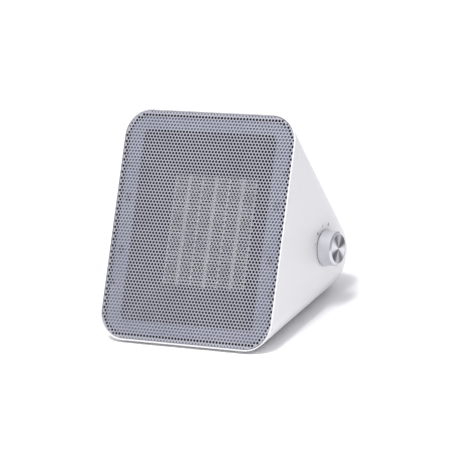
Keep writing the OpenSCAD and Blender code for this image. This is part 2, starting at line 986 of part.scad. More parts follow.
module base_plate() color("whitesmoke")
    difference() {
        union() {
            on_base(0, plate_y) {
                slab(plate_w - 2 * gap, plate_l - 2 * gap, plate_r - gap, plate_skin - press_gap);
                slab(plate_w - 2 * plate_edge - 2 * gap, plate_l - 2 * plate_edge - 2 * gap,
                    plate_inner_r - gap, wall);
            }
        }
        base_corner_holes(pass_r, wall + 2 * over, -over);
        on_base(tip_x, tip_y)
            translate([0, 0, -1])
                cylinder(d = tip_pin_d + 2 * run_gap, h = wall + 3);
    }

module base_screws() color("silver")
    for (x = [-1, 1], y = [-1, 1])
        on_base(x * base_screw_x, plate_y + y * base_screw_y)
            translate([0, 0, base_screw_in])
                rotate([180, 0, 0])
                    pan_screw(small_screw_r, base_screw_in);

module foot(d) {
    cylinder(d1 = d - 1.6, d2 = d, h = 1);
    translate([0, 0, 1])
        cylinder(d = d, h = foot_h + foot_seat - 1);
}

module feet() color("dimgray")
    for (x = [-1, 1]) {
        on_base(x * front_foot_x, front_foot_y)
            translate([0, 0, -foot_h])
                foot(front_foot_d);
        on_base(x * rear_foot_x, rear_foot_y)
            translate([0, 0, -foot_h])
                foot(rear_foot_d);
    }

// ---- tip-over switch ----
module tip_switch_body() color("black")
    on_base(tip_x, tip_y)
        difference() {
            translate([-tip_body[0] / 2, -tip_body[1] / 2, wall])
                cube(tip_body);
            translate([0, 0, -1])
                cylinder(d = tip_pin_d + 2 * run_gap, h = wall + 4);
            translate([0, 0, tip_floor - foot_h])
                cylinder(r = tip_bore_r, h = tip_roof - tip_floor);
        }

// The plunger is drawn pressed in, as the floor holds it; it drops when the heater is lifted
module tip_plunger() color("white")
    on_base(tip_x, tip_y) {
        translate([0, 0, -foot_h])
            cylinder(d1 = tip_pin_d - 1.2, d2 = tip_pin_d, h = 0.6);
        translate([0, 0, 0.6 - foot_h])
            cylinder(d = tip_pin_d, h = tip_floor + tip_travel + tip_collar_t - 0.6);
        translate([0, 0, tip_floor + tip_travel + 0.1 - foot_h])
            cylinder(r = tip_collar_r, h = tip_collar_t);
    }

spring_low = tip_floor + tip_travel + tip_collar_t + 0.15;
spring_high = tip_roof - 0.05;
spring_wire = 0.5;
spring_r = 3.1;
spring_turns = 4;
spring_steps = 14;
function spring_point(i, k) = let (
    n = spring_turns * spring_steps,
    a = i * 360 / spring_steps,
    b = k * 360 / 8,
    r = spring_r + spring_wire / 2 * cos(b),
    z = spring_low + spring_wire / 2 + (spring_high - spring_low - spring_wire) * i / n)
    [r * cos(a), r * sin(a), z + spring_wire / 2 * sin(b)];

module tip_spring() color("silver")
    translate([mid_x + tip_x, front_y + tip_y, 0])
        polyhedron(
            points = [for (i = [0:spring_turns * spring_steps], k = [0:7]) spring_point(i, k)],
            faces = concat(
                [[for (k = [0:7]) k]],
                [for (i = [0:spring_turns * spring_steps - 1], k = [0:7])
                    let (n = (k + 1) % 8, o = i * 8)
                    [o + k, o + 8 + k, o + 8 + n, o + n]],
                [[for (k = [7:-1:0]) spring_turns * spring_steps * 8 + k]]
            )
        );

module terminal_block() color("ivory")
    on_base(-18, plate_y + 10)
        translate([0, 0, wall])
            difference() {
                translate([-15, -8, 0])
                    cube([30, 16, 12]);
                for (x = [-1, 0, 1]) {
                    translate([x * 9, -9, 5])
                        rotate([-90, 0, 0])
                            cylinder(r = 2.2, h = 18);
                    translate([x * 9, 0, 5])
                        cylinder(r = 2.4, h = 8);
                }
            }

// Bush that lines the cord inlet in the nose
module cord_bush() color("dimgray")
    cord_axis()
        difference() {
            union() {
                translate([0, 0, -cord_proud])
                    cylinder(r = cord_flange_r, h = cord_proud + cord_seat);
                cylinder(r = cord_body_r, h = wall + 3);
                translate([0, 0, wall + 1.2])
                    cylinder(r = cord_body_r + 0.9, h = 1.6);
            }
            translate([0, 0, -3])
                cylinder(d = cord_bore_d, h = wall + 9);
        }

housing();
front_grille();
grille_clips();
front_frame();
frame_screws();
outlet_duct();
heater_holder(1);  // heater_holder_top
heater_holder(-1);  // heater_holder_bottom
heater_fin(0);  // heater_fin_1
heater_fin(1);  // heater_fin_2
heater_fin(2);  // heater_fin_3
heater_fin(3);  // heater_fin_4
heater_fin(4);  // heater_fin_5
heater_fin(5);  // heater_fin_6
ptc_rod(0);  // ptc_rod_1
ptc_rod(1);  // ptc_rod_2
ptc_rod(2);  // ptc_rod_3
heater_plates();
heater_terminals();
thermostat();
thermal_fuse();
fan_housing();
fan_housing_screws();
impeller();
motor_can();
motor_end_cap();
motor_magnets();
motor_rotor();
motor_shaft();
motor_bushes();
motor_screws();
switch_body();
switch_terminals();
switch_nut();
switch_shaft();
knob();
knob_cap();
knob_pointer();
dial_marks();
intake_grille();
base_plate();
base_screws();
feet();
tip_switch_body();
tip_plunger();
tip_spring();
terminal_block();
cord_bush();
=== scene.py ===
"""Wedge-shaped ceramic space heater: its visible pieces, finishes, light and camera, built round the
CAD frame."""
import math

import bmesh
import bpy
import numpy as np
from mathutils import Matrix, Vector
from mathutils.geometry import delaunay_2d_cdt


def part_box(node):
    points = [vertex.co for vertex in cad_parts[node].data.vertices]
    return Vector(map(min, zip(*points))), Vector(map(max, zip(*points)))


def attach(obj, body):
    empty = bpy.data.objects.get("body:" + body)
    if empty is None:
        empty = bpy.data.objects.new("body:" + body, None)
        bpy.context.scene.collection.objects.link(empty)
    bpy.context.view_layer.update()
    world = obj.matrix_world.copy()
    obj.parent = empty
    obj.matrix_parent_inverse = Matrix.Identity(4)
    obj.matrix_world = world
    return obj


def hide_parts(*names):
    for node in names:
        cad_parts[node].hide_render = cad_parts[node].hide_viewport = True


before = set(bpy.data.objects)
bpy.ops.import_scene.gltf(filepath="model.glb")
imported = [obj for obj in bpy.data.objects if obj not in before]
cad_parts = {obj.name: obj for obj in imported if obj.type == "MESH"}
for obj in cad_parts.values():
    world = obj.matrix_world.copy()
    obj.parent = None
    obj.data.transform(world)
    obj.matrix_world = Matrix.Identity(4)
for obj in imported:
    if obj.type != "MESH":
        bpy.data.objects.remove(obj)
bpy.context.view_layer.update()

MM = 0.001

# ---- Camera ----
# A long lens from the front left and above, aimed so that the heater leans a little in the frame.
# Its place is measured from the middle of the front sheet, which is the largest face in view.
shell_lo, shell_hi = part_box("housing")
FACE_H = 196 * MM
NOSE_R = 35 * MM
HALF_ANGLE = math.radians(30)
face_w = shell_hi.x - shell_lo.x
mid_x = (shell_hi.x + shell_lo.x) / 2
foot_h = shell_lo.z
nose_run = FACE_H - NOSE_R / math.tan(HALF_ANGLE)
front_y = -(nose_run + NOSE_R) / 2


def axes(origin, across, up, out):
    """A 4x4 matrix whose columns are three unit directions and an origin: it takes local points to the
    row frame."""
    m = np.eye(4)
    m[:3, 0], m[:3, 1], m[:3, 2], m[:3, 3] = across, up, out, origin
    return m


SIN, COS = math.sin(HALF_ANGLE), math.cos(HALF_ANGLE)
X_DIR = np.array([1.0, 0.0, 0.0])
FACE_UP = np.array([0.0, SIN, COS])
FACE_OUT = np.array([0.0, -COS, SIN])
face = axes((mid_x, front_y + FACE_H / 2 * SIN, foot_h + FACE_H / 2 * COS), X_DIR, FACE_UP, FACE_OUT)

SHEET_DEPTH = 1 * MM
LENS_MM = 226.3
view_from = face[:3, 3] - SHEET_DEPTH * FACE_OUT + np.array([1.16764, -1.84416, 0.78975])
view_right = np.array([0.8670, 0.48139, -0.12872])
view_back = np.array([0.49459, -0.79966, 0.34051])
camera = bpy.data.objects.new("camera", bpy.data.cameras.new("camera"))
camera.data.lens = LENS_MM
camera.data.sensor_width = 36
camera.data.clip_end = 50
camera.matrix_world = Matrix(axes(view_from, view_right, np.cross(view_back, view_right),
                                  view_back).tolist())
bpy.context.scene.collection.objects.link(camera)
bpy.context.scene.camera = camera


# ---- Floor and light ----
# A white sweep in an even white room, under one soft box overhead on the left and a weak one in front.
# Colours are kept as they are, so the sweep clips to white and the shadow stays soft and grey.
def colour(code):
    """An sRGB hex code as linear RGBA: small values are divided by 12.92, others shifted, scaled and
    raised to 2.4."""
    srgb = np.array([int(code[i:i + 2], 16) for i in (1, 3, 5)]) / 255
    linear = np.where(srgb <= 0.04045, srgb / 12.92, ((srgb + 0.055) / 1.055) ** 2.4)
    return (*linear.tolist(), 1.0)


def add(tree, kind, inputs=None, **settings):
    """Adds a node, sets its properties, and gives each named input a constant or a link from an output."""
    new = tree.nodes.new("ShaderNode" + kind)
    for key, value in settings.items():
        setattr(new, key, value)
    for key, value in (inputs or {}).items():
        if isinstance(value, bpy.types.NodeSocket):
            tree.links.new(value, new.inputs[key])
        else:
            new.inputs[key].default_value = value
    return new


def finish_of(name, base, roughness, metallic=0.0):
    """A material with a Principled shader of those values; gives it, its tree, the shader and object
    coordinates."""
    made = bpy.data.materials.new(name)
    made.use_nodes = True
    tree = made.node_tree
    shader = tree.nodes["Principled BSDF"]
    shader.inputs["Base Color"].default_value = colour(base)
    shader.inputs["Roughness"].default_value = roughness
    shader.inputs["Metallic"].default_value = metallic
    place = add(tree, "TexCoord").outputs["Object"]
    return made, tree, shader, place


def mesh_piece(name, points, faces, material):
    """A mesh object at the origin from an array of points and a list of faces, or arrays of faces."""
    data = bpy.data.meshes.new(name)
    data.from_pydata(np.asarray(points).tolist(), [], faces)
    data.update()
    data.materials.append(material)
    piece = bpy.data.objects.new(name, data)
    bpy.context.scene.collection.objects.link(piece)
    return piece


def soft_box(name, place, aim, size, watts):
    """A square white area light that shines from place towards aim."""
    lamp = bpy.data.objects.new(name, bpy.data.lights.new(name, "AREA"))
    lamp.data.size = size
    lamp.data.energy = watts
    lamp.matrix_world = (Vector(aim) - Vector(place)).to_track_quat("-Z", "Y").to_matrix().to_4x4()
    lamp.matrix_world.translation = place
    bpy.context.scene.collection.objects.link(lamp)


def white_sweep():
    """Painted paper: plain white and matt, with a fibre grain of 0.4 mm that barely shows."""
    made, tree, shader, place = finish_of("white_paper_sweep", "#F6F6F6", 0.9)
    grain = add(tree, "TexNoise", {"Vector": place, "Scale": 1 / (0.4 * MM)})
    bump = add(tree, "Bump", {"Height": grain.outputs[0], "Strength": 0.05, "Distance": 0.05 * MM})
    tree.links.new(bump.outputs[0], shader.inputs["Normal"])
    return made


FLOOR_SIDE = 30
corner = np.array([(-1, -1), (1, -1), (1, 1), (-1, 1)]) * FLOOR_SIDE / 2
floor = mesh_piece("floor", np.column_stack([corner, np.zeros(4)]), [(0, 1, 2, 3)], white_sweep())

scene = bpy.context.scene
scene.view_settings.view_transform = "Standard"
world = bpy.data.worlds.new("studio")
world.use_nodes = True
world.node_tree.nodes["Background"].inputs["Color"].default_value = colour("#FBFAFF")
world.node_tree.nodes["Background"].inputs["Strength"].default_value = 0.78
scene.world = world
soft_box("key_soft_box", (-0.15, -0.55, 2.08), (0, 0, 0.06), 0.9, 54)
soft_box("front_soft_box", (-0.6, -2.2, 1.3), (0, 0, 0.08), 1.2, 5)


# ---- Housing ----
# One moulded shell of white ABS, 2.4 mm thick: a triangular body with a rounded nose, open at the front. A
# 1.2 mm lip stands round the grille sheet. The back is cut out for the intake and the underside for the
# base.
CORNER_R = 24 * MM
NOSE_FILLET = 26 * MM
WALL = 2.4 * MM
LIP = 1.2 * MM
RIM_R = 0.65 * MM
SEAT_DEPTH = 1.8 * MM
nose_depth = (FACE_H / 2) / math.tan(HALF_ANGLE) - NOSE_R / SIN
CORNER_STEPS = 16
NOSE_STEPS = 20
ARC_STEPS = 5


def shell_rows(inset):
    """Rim points, nose points and normals of the body's hull, drawn in by an inset, for a quarter of the
    front.

    For each angle a round the front corner, the wall is the straight line whose tangent plane touches
    both the corner arc and the nose roller. The plane's normal is (s cos a, s sin a, d), and d is found
    by bisection from the two support heights. The roller is a cylinder across the nose with filleted
    ends."""
    half_w, half_h = face_w / 2 - inset, FACE_H / 2 - inset / COS
    corner_r, fillet = CORNER_R - inset, NOSE_FILLET - inset
    core_x, core_r = half_w - fillet, NOSE_R - NOSE_FILLET
    a = np.radians(np.linspace(90, 0, CORNER_STEPS + 1))
    a[-1] = 1e-4
    low, high = np.zeros_like(a), np.full_like(a, 0.7)
    for _ in range(50):
        d = (low + high) / 2
        s = np.sqrt(1 - d * d)
        roller = core_x * s * np.cos(a) + core_r * np.hypot(s * np.sin(a), d) + fillet + d * nose_depth
        rim = s * ((half_w - corner_r) * np.cos(a) + (half_h - corner_r) * np.sin(a) + corner_r)
        low, high = np.where(roller < rim, d, low), np.where(roller < rim, high, d)
    s = np.sqrt(1 - d * d)
    side, steep = s * np.cos(a), np.hypot(s * np.sin(a), d)
    turn = np.arctan2(d, s * np.sin(a))
    rim = np.stack([half_w - corner_r + corner_r * np.cos(a), half_h - corner_r + corner_r * np.sin(a),
                    0 * a], 1)
    reach = core_r + fillet * steep
    arc = turn[:, None] + (np.pi / 2 - turn[:, None]) * np.linspace(0, 1, NOSE_STEPS + 1)
    nose = np.stack([np.broadcast_to((core_x + fillet * side)[:, None], arc.shape),
                     reach[:, None] * np.cos(arc), nose_depth + reach[:, None] * np.sin(arc)], 2)
    return a, d, rim, nose


def shell_profile():
    """Upper half profile at each corner angle, from the nose over the rim and lip to the inside of the nose.

    Columns are x, height up the face and depth. The rim is an arc tangent to the wall and the face plane."""
    a, d, rim, nose = shell_rows(0)
    _, _, rim_in, nose_in = shell_rows(WALL)
    outward = np.stack([np.cos(a), np.sin(a), 0 * a], 1)
    inward = np.stack([0 * a, 0 * a, 1 + 0 * a], 1)
    turn = np.pi / 2 + np.arcsin(d)
    tangent = RIM_R * np.tan(turn / 2)
    along = np.sqrt(1 - d * d)[:, None] * inward - d[:, None] * outward
    wall_start = rim + tangent[:, None] * along
    wall_line = nose[:, 0] - wall_start
    shares = np.array([0.985, 0.9, 0.6, 0.3, 0.08, 0.015])
    wall = wall_start[:, None] + shares[None, :, None] * wall_line[:, None]
    centre = rim - tangent[:, None] * outward + RIM_R * inward
    beta = turn[:, None] * np.linspace(1, 0, ARC_STEPS + 1)
    arc = centre[:, None] + RIM_R * (np.sin(beta)[..., None] * outward[:, None]
                                     - np.cos(beta)[..., None] * inward[:, None])
    seat_top = rim - LIP * outward
    taper = np.array([0, SEAT_DEPTH * math.tan(HALF_ANGLE), 0])
    seat_low = seat_top - taper + SEAT_DEPTH * inward
    inner_line = nose_in[:, 0] - rim_in
    ledge = rim_in + inner_line * (SEAT_DEPTH / inner_line[:, 2:3])
    inner_shares = np.array([0.02, 0.3, 0.7, 0.98])[None, :, None]
    inner = ledge[:, None] + inner_shares * (nose_in[:, 0] - ledge)[:, None]
    single = [v[:, None] for v in (seat_top, seat_low, ledge)]
    return np.concatenate([nose[:, ::-1], wall, arc, *single, inner, nose_in], 1)


def shell_mesh():
    """Points and faces of the whole shell: the half profile and its mirror image make a closed loop,
    loops from the left side over the middle to the right side make the body, and each end is closed by
    strips across the side."""
    upper = shell_profile()
    lower = (upper * np.array([1, -1, 1]))[:, -2:0:-1]
    right = np.concatenate([upper, lower], 1)
    rows = np.concatenate([(right * np.array([-1, 1, 1]))[::-1], right], 0)
    n, m = rows.shape[:2]
    ids = np.arange(n * m).reshape(n, m)
    around = np.roll(ids, -1, 1)
    sides = np.stack([ids[:-1], ids[1:], around[1:], around[:-1]], 2).reshape(-1, 4).tolist()
    half = m // 2
    first, mirrored = np.arange(half), (m - np.arange(half + 1)) % m
    caps = []
    for end in (0, n - 1):
        strip = np.stack([first, first + 1, mirrored[1:], mirrored[:-1]], 1)
        caps += [list(dict.fromkeys(ids[end, quad].tolist())) for quad in strip]
    local = rows.reshape(-1, 3) * np.array([1, 1, -1])
    return local, sides + caps


def placed(points, at):
    """Local points taken to the row frame by a 4x4 matrix."""
    return np.asarray(points) @ at[:3, :3].T + at[:3, 3]


def rounded_loop(w, h, r, steps=8):
    """Points round a rectangle with arc corners, anticlockwise from the right-hand side."""
    quarter = np.radians(np.arange(4)[:, None] * 90 + np.linspace(0, 90, steps + 1)).ravel()
    sx = np.repeat([1, -1, -1, 1], steps + 1)
    sy = np.repeat([1, 1, -1, -1], steps + 1)
    return np.stack([sx * (w / 2 - r) + r * np.cos(quarter), sy * (h / 2 - r) + r * np.sin(quarter)], 1)


def circle_loop(r, steps=48):
    """Points round a circle, anticlockwise."""
    a = np.arange(steps) * 2 * np.pi / steps
    return r * np.stack([np.cos(a), np.sin(a)], 1)


def loft(loops, heights):
    """A closed solid through flat loops of equal count, each at its height: quads between loops, an end
    at each end."""
    k, n = len(loops), len(loops[0])
    points = np.concatenate([np.column_stack([p, np.full(n, z)]) for p, z in zip(loops, heights)])
    ids = np.arange(k * n).reshape(k, n)
    step = np.roll(ids, -1, 1)
    sides = np.stack([ids[:-1], step[:-1], step[1:], ids[1:]], 2).reshape(-1, 4).tolist()
    return points, sides + [ids[0, ::-1].tolist(), ids[-1].tolist()]


def joined(parts):
    """Several (points, faces) solids as one."""
    points, faces, count = [], [], 0
    for p, f in parts:
        points.append(p)
        faces += [[i + count for i in face_ids] for face_ids in f]
        count += len(p)
    return np.concatenate(points), faces


def face_out(piece):
    """Turns all faces of a closed mesh outwards."""
    work = bmesh.new()
    work.from_mesh(piece.data)
    bmesh.ops.recalc_face_normals(work, faces=work.faces)
    work.to_mesh(piece.data)
    work.free()
    return piece


def settle(piece, sharp_angle=32):
    """Applies the modifiers, shades the mesh smooth and keeps only edges over the angle sharp."""
    graph = bpy.context.evaluated_depsgraph_get()
    done = bpy.data.meshes.new_from_object(piece.evaluated_get(graph))
    piece.modifiers.clear()
    piece.data = done
    done.shade_smooth()
    done.set_sharp_from_angle(angle=math.radians(sharp_angle))
    return piece


def cut(piece, solids):
    """Takes closed solids out of a piece with exact Booleans, and applies them."""
    cutters = []
    for i, (points, faces) in enumerate(solids):
        cutter = face_out(mesh_piece(f"cutter_{i}", points, faces, piece.data.materials[0]))
        modifier = piece.modifiers.new(f"cut_{i}", "BOOLEAN")
        modifier.operation, modifier.solver, modifier.object = "DIFFERENCE", "EXACT", cutter
        cutters.append(cutter)
    settle(piece)
    for cutter in cutters:
        bpy.data.objects.remove(cutter)


def outside_of(tree, place, half_w, half_h, corner, depth):
    """1 where a point lies outside a rounded box centred on the front face, and 0 inside it. The
    distance past the sides is the length of the part of the place that passes the straight sides, less
    the corner radius."""
    turned = add(tree, "Mapping", {"Vector": place, "Rotation": (HALF_ANGLE - math.pi / 2, 0, 0),
                                   "Location": (-face[:3, :3].T @ face[:3, 3]).tolist()})
    flat = add(tree, "VectorMath", {0: turned.outputs[0]}, operation="ABSOLUTE")
    limits = (half_w - corner, half_h - corner, depth)
    past = add(tree, "VectorMath", {0: flat.outputs[0], 1: limits}, operation="SUBTRACT")
    back = add(tree, "SeparateXYZ", {0: past.outputs[0]}).outputs[2]
    sides = add(tree, "VectorMath", {0: past.outputs[0], 1: (0.0, 0.0, 0.0)}, operation="MAXIMUM")
    level = add(tree, "VectorMath", {0: sides.outputs[0], 1: (1.0, 1.0, 0.0)}, operation="MULTIPLY")
    length = add(tree, "VectorMath", {0: level.outputs[0]}, operation="LENGTH").outputs["Value"]
    beside = add(tree, "Math", {0: length, 1: corner}, operation="SUBTRACT")
    most = add(tree, "Math", {0: beside.outputs[0], 1: back}, operation="MAXIMUM")
    return add(tree, "MapRange", {0: most.outputs[0], 1: 0.0, 2: 0.1 * MM}).outputs[0]


def white_abs():
    """Moulded white ABS with a satin, spark-eroded skin: very even, faintly cool, with a soft wide
    highlight. The grain of 0.35 mm only dulls the highlight, and the colour drifts by a hair over
    50 mm. Behind the sheet's edge, the ledge and the inside of the lip are painted near black. This is
    painted shade that stands for the dark gap round the sheet."""
    made, tree, shader, place = finish_of("moulded_white_abs", "#CDCDCF", 0.38)
    drift = add(tree, "TexNoise", {"Vector": place, "Scale": 1 / (50 * MM), "Detail": 1.0})
    skin = add(tree, "Mix", {0: drift.outputs[0], 6: colour("#CBCBCE"), 7: colour("#CFCFD0")},
               data_type="RGBA")
    # Painted shade: inside the sheet's outline and within the given depth behind the front, the white is
    # replaced by the near-black shade colour.
    unshaded = outside_of(tree, place, face_w / 2 - LIP - SHADE_IN_SIDE, FACE_H / 2 - LIP - SHADE_IN_END,
                      CORNER_R - LIP, SHADE_DEPTH)
    tone = add(tree, "Mix", {0: unshaded, 6: colour(PAINTED_SHADE_COLOUR), 7: skin.outputs[2]}, data_type="RGBA")
    grain = add(tree, "TexNoise", {"Vector": place, "Scale": 1 / (0.35 * MM), "Detail": 2.0})
    gloss = add(tree, "MapRange", {0: grain.outputs[0], 3: 0.34, 4: 0.42})
    bump = add(tree, "Bump", {"Height": grain.outputs[0], "Strength": 0.12, "Distance": 0.02 * MM})
    tree.links.new(tone.outputs[2], shader.inputs["Base Color"])
    tree.links.new(gloss.outputs[0], shader.inputs["Roughness"])
    tree.links.new(bump.outputs[0], shader.inputs["Normal"])
    shader.inputs["Subsurface Weight"].default_value = 0.08
    shader.inputs["Subsurface Radius"].default_value = (1.0, 1.0, 1.0)
    shader.inputs["Subsurface Scale"].default_value = 0.8 * MM
    return made


INTAKE_W, INTAKE_L, INTAKE_S = 108 * MM, 92 * MM, 82 * MM
INTAKE_EDGE, INTAKE_SKIN, PANEL_R = 4 * MM, 1.2 * MM, 8 * MM
PLATE_W, PLATE_L, PLATE_Y = 88 * MM, 58 * MM, 91 * MM
PLATE_EDGE, PLATE_SKIN, PLATE_R = 8 * MM, 1.2 * MM, 6 * MM
GAP = 0.15 * MM
SWITCH_HOLE_R = 4.55 * MM
KNOB_DEPTH = 74.4 * MM
CORD_X = -38 * MM
CLEAR = 6 * MM
# Painted shade: the near-black colour for the shadowed gap round the sheet and frame, how deep behind the
# front it reaches, and how far inside the lip it starts.
PAINTED_SHADE_COLOUR, SHADE_DEPTH = "#1E1F25", 4.6 * MM
SHADE_IN_SIDE, SHADE_IN_END = 0.08 * MM, 1.05 * MM

BACK_UP = np.array([0.0, SIN, -COS])
BACK_OUT = np.array([0.0, COS, SIN])
back_top = np.array([mid_x, front_y + FACE_H * SIN, foot_h + FACE_H * COS])
back = axes(back_top + INTAKE_S * BACK_UP, X_DIR, BACK_UP, BACK_OUT)
base = axes((mid_x, front_y + PLATE_Y, foot_h), X_DIR, (0, 1, 0), (0, 0, 1))
knob_at = axes(face[:3, 3] + X_DIR * face_w / 2 - KNOB_DEPTH * FACE_OUT, -FACE_OUT, FACE_UP, X_DIR)
cord_at = axes((mid_x + CORD_X, front_y + nose_run + NOSE_R, foot_h + NOSE_R), X_DIR, (0, 0, 1), (0, -1, 0))


def stepped_opening(w, l, r, skin, edge, outward):
    """A cutter for a recess as deep as a panel's skin with a smaller opening through the wall below it."""
    wide, small = rounded_loop(w, l, r), rounded_loop(w - 2 * edge, l - 2 * edge, r - edge * 0.5)
    heights = np.array([-WALL - CLEAR, -skin, -skin, CLEAR]) * outward
    return loft([small, small, wide, wide][::int(outward)], heights[::int(outward)])


abs_white = white_abs()
shell_points, shell_faces = shell_mesh()
housing = mesh_piece("housing_shell", placed(shell_points, face), shell_faces, abs_white)
face_out(housing)
# Half spacing, distance from the front edge and diameter of each pair of feet.
FRONT_FEET = (54 * MM, 56 * MM, 16 * MM)
REAR_FEET = (50 * MM, nose_run - 6 * MM, 14 * MM)
foot_spots = [(x * w, y, d) for w, y, d in (FRONT_FEET, REAR_FEET) for x in (-1, 1)]
FOOT_SEAT = 1 * MM
CORD_SEAT_R, CORD_HOLE_R = 7.65 * MM, 5.75 * MM
cuts = []
for opening, at in ((stepped_opening(INTAKE_W, INTAKE_L, PANEL_R, INTAKE_SKIN, INTAKE_EDGE, 1), back),
                    (stepped_opening(PLATE_W, PLATE_L, PLATE_R, PLATE_SKIN, PLATE_EDGE, -1), base),
                    (loft([circle_loop(SWITCH_HOLE_R)] * 2, [-WALL - CLEAR, CLEAR]), knob_at),
                    (loft([circle_loop(r) for r in (CORD_SEAT_R, CORD_SEAT_R, CORD_HOLE_R, CORD_HOLE_R)],
                          [-CLEAR, FOOT_SEAT, FOOT_SEAT, WALL + CLEAR]), cord_at)):
    cuts.append((placed(opening[0], at), opening[1]))
for x, y, across in foot_spots:
    seat = loft([circle_loop(across / 2 + GAP)] * 2, [-CLEAR, FOOT_SEAT])
    cuts.append((placed(seat[0], axes((mid_x + x, front_y + y, foot_h), X_DIR, (0, 1, 0), (0, 0, 1))),
                 seat[1]))
cut(housing, cuts)
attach(housing, "heater")
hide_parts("housing")


# ---- Front grille ----
# A flat steel sheet, 0.8 mm thick, punched with round 2.4 mm holes in staggered rows and painted silver.
# It drops into the recess inside the lip, and the rows run right up to its edge, where the last holes are
# smaller.
HOLE_PITCH = 3 * MM
HOLE_R = 1.21 * MM
SMALL_HOLE_R = 0.5 * MM
HOLE_SIDES = 10
SHEET_T = 0.8 * MM
HOLE_BORDER = 0.15 * MM
HOLE_ROWS, HOLE_COLUMNS = 74, 56


def pierced_plate(loops_at, levels):
    """A closed plate with convex holes, as points and faces.

    loops_at(offset) gives the outline and the holes, drawn in and widened by the offset; levels lists
    the height and offset of each layer from front to back. Each loop is a wall of quads from layer to
    layer, and the two ends are triangulated between the loops, leaving out triangles whose corners all
    lie on one hole."""
    loops = loops_at(levels[0][1])
    counts = np.array([len(p) for p in loops])
    owner = np.repeat(np.arange(len(loops)), counts)
    starts = np.cumsum(counts) - counts
    here = np.arange(len(owner))
    after = here + 1
    after[starts + counts - 1] = starts
    flat = np.concatenate(loops)
    corners = [Vector(p) for p in (flat / MM).tolist()]
    found = delaunay_2d_cdt(corners, np.stack([here, after], 1).tolist(), [], 0, 1e-6)
    source = np.array([ids[0] for ids in found[3]])
    triangles = source[np.array([t for t in found[2] if len(t) == 3])]
    of_loop = owner[triangles]
    in_hole = (of_loop[:, 0] > 0) & (of_loop[:, 0] == of_loop[:, 1]) & (of_loop[:, 0] == of_loop[:, 2])
    triangles = triangles[~in_hole]
    total = len(owner)
    points = np.concatenate([np.column_stack([np.concatenate(loops_at(offset)), np.full(total, z)])
                             for z, offset in levels])
    walls = [np.stack([here, here + total, after + total, after], 1) + k * total
             for k in range(len(levels) - 1)]
    last = triangles[:, ::-1] + (len(levels) - 1) * total
    return points, triangles.tolist() + np.concatenate(walls).tolist() + last.tolist()


def silver_paint():
    """Silver paint on punched steel: a fine metal flake that is half mirror and half haze, so the webs
    between the holes stay bright from any side. The flake of 0.2 mm and a drift over 30 mm break up the
    tone."""
    made, tree, shader, place = finish_of("silver_painted_steel", "#9798A1", 0.42, 0.35)
    flake = add(tree, "TexNoise", {"Vector": place, "Scale": 1 / (0.2 * MM), "Detail": 1.0})
    drift = add(tree, "TexNoise", {"Vector": place, "Scale": 1 / (30 * MM), "Detail": 1.0})
    both = add(tree, "Math", {0: flake.outputs[0], 1: drift.outputs[0]}, operation="ADD")
    tone = add(tree, "MapRange", {0: both.outputs[0], 1: 0.6, 2: 1.4})
    tint = add(tree, "Mix", {0: tone.outputs[0], 6: colour("#8E909A"), 7: colour("#9F9FA8")},
               data_type="RGBA")
    bump = add(tree, "Bump", {"Height": flake.outputs[0], "Strength": 0.1, "Distance": 0.02 * MM})
    tree.links.new(tint.outputs[2], shader.inputs["Base Color"])
    tree.links.new(bump.outputs[0], shader.inputs["Normal"])
    return made


sheet_w = face_w - 2 * LIP - 2 * GAP
sheet_h = FACE_H - 2 * (SEAT_DEPTH * math.tan(HALF_ANGLE) + LIP + GAP)
SHEET_R = CORNER_R - LIP
ROW_PITCH = HOLE_PITCH * math.sqrt(3) / 2
row, column = np.meshgrid(np.arange(HOLE_ROWS), np.arange(HOLE_COLUMNS) - HOLE_COLUMNS // 2, indexing="ij")
across = (column + 0.25 + 0.5 * (row % 2)) * HOLE_PITCH
lattice = np.stack([across, (row - (HOLE_ROWS - 1) / 2) * ROW_PITCH], 2).reshape(-1, 2)
beyond = np.abs(lattice) - np.array([sheet_w / 2 - SHEET_R, sheet_h / 2 - SHEET_R])
to_edge = SHEET_R - np.hypot(*np.maximum(beyond, 0).T) - np.minimum(beyond.max(1), 0)
# Holes that would run under the lip are punched smaller.
hole_r = np.minimum(HOLE_R, to_edge - HOLE_BORDER)
hole_centres, hole_r = lattice[hole_r > SMALL_HOLE_R], hole_r[hole_r > SMALL_HOLE_R]


def sheet_loops(offset):
    """The sheet's outline and all its holes."""
    holes = hole_centres[:, None] + hole_r[:, None, None] * circle_loop(1, HOLE_SIDES)
    return [rounded_loop(sheet_w, sheet_h, SHEET_R), *holes]


sheet_points, sheet_faces = pierced_plate(sheet_loops, [(-SHEET_DEPTH, 0), (-SHEET_DEPTH - SHEET_T, 0)])
grille = mesh_piece("grille_sheet", placed(sheet_points, face), sheet_faces, silver_paint())
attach(grille, "heater")
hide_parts("front_grille")


# ---- Flange frame and duct ----
# Behind the sheet a blue-grey moulded frame is screwed to the housing. It carries a dark funnel of
# heat-resistant plastic, with straight mitred corners, that narrows from its mouth to the heater block.
def moulded(name, base, drift_to, roughness, grain, depth):
    """Moulded plastic: the colour drifts a little over 30 mm, and a pebble grain of the given size
    dulls the gloss."""
    made, tree, shader, place = finish_of(name, base, roughness)
    drift = add(tree, "TexNoise", {"Vector": place, "Scale": 1 / (30 * MM), "Detail": 2.0})
    tone = add(tree, "Mix", {0: drift.outputs[0], 6: colour(base), 7: colour(drift_to)}, data_type="RGBA")
    pebble = add(tree, "TexNoise", {"Vector": place, "Scale": 1 / grain, "Detail": 2.0})
    gloss = add(tree, "MapRange", {0: pebble.outputs[0], 3: roughness - 0.06, 4: roughness + 0.06})
    bump = add(tree, "Bump", {"Height": pebble.outputs[0], "Strength": 0.4, "Distance": depth})
    tree.links.new(tone.outputs[2], shader.inputs["Base Color"])
    tree.links.new(gloss.outputs[0], shader.inputs["Roughness"])
    tree.links.new(bump.outputs[0], shader.inputs["Normal"])
    return made


def dress(finish, *names):
    """Gives a finish to CAD nodes, which keep their own shape."""
    for name in names:
        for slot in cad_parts[name].material_slots:
            slot.material = finish
